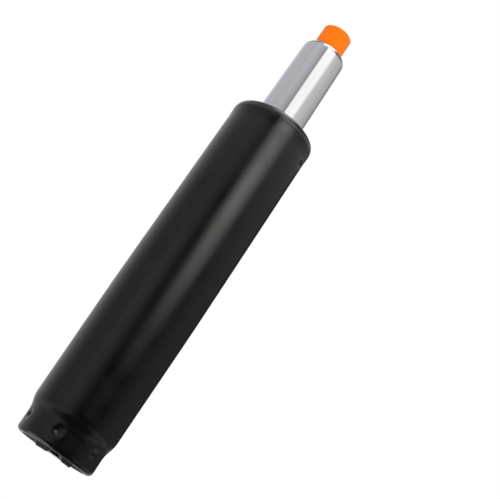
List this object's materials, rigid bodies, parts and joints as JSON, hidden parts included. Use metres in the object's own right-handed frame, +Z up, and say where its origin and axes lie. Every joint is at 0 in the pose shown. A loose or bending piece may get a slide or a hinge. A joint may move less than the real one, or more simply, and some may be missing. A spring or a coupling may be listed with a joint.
{
  "type": "chair gas lift cylinder",
  "caption": "Tapered black column with a guide bush, a sliding gas cylinder, a swivel thrust bearing and a release valve under a push-on transit cap.",
  "frame": {"origin": "centre of the column's lower rim, on the axis", "axes": "+Z up the axis from the chair base's end to the seat's end; +X points between two of the neck's dents"},
  "size_m": [0.0504, 0.0504, 0.2886],
  "materials": {
    "black_coating": "satin",
    "black_plastic": "satin",
    "zinc_steel": "zinc plated",
    "bearing_steel": "ground",
    "white_plastic": "satin",
    "ground_rod": "ground and plated",
    "spring_steel": "satin",
    "black_rubber": "matte",
    "cast_alloy": "turned",
    "bright_tube": "polished",
    "plain_steel": "drawn",
    "button_steel": "turned",
    "orange_plastic": "satin"
  },
  "bodies": {
    "column": {"column_tube": "black_coating", "guide_bush": "black_plastic", "base_plate": "zinc_steel", "lower_race": "bearing_steel"},
    "bearing": {"ball_cage": "white_plastic", "bearing_balls": "bearing_steel"},
    "rod": {"piston_rod": "ground_rod", "upper_race": "bearing_steel", "buffer_washer": "zinc_steel", "rubber_buffer": "black_rubber", "clip_washer": "zinc_steel", "retaining_clip": "spring_steel", "piston": "cast_alloy", "piston_guide_ring": "white_plastic", "piston_seal": "black_rubber", "piston_nut": "zinc_steel"},
    "gas_spring": {"pressure_tube": "bright_tube", "inner_tube": "plain_steel", "seal_washer": "zinc_steel", "rod_seal": "black_rubber", "rod_guide": "cast_alloy", "guide_o_ring": "black_rubber", "valve_body": "cast_alloy", "valve_body_o_rings": "black_rubber", "valve_retainer": "white_plastic", "pin_seals": "black_rubber", "pin_spacer": "white_plastic"},
    "release_valve": {"release_pin": "plain_steel", "release_button": "button_steel"},
    "cap": {"transit_cap": "orange_plastic"}
  },
  "joints": [
    {"name": "swivel", "type": "hinge", "parent": "column", "child": "rod", "pos_m": [0, 0, 0], "axis": [0, 0, 1], "continuous": true},
    {"name": "bearing_turn", "type": "hinge", "parent": "column", "child": "bearing", "pos_m": [0, 0, 0], "axis": [0, 0, 1], "continuous": true},
    {"name": "lift", "type": "slide", "parent": "rod", "child": "gas_spring", "axis": [0, 0, 1], "range_m": [0, 0.12]},
    {"name": "button_press", "type": "slide", "parent": "gas_spring", "child": "release_valve", "axis": [0, 0, -1], "range_m": [0, 0.003], "stiffness_N_per_m": 6000, "springref_m": -0.002},
    {"name": "cap_pull", "type": "slide", "parent": "gas_spring", "child": "cap", "axis": [0, 0, 1], "range_m": [0, 0.03]}
  ],
  "couplings": [
    {"joint": "bearing_turn", "follows": "swivel", "ratio": 0.5}
  ]
}
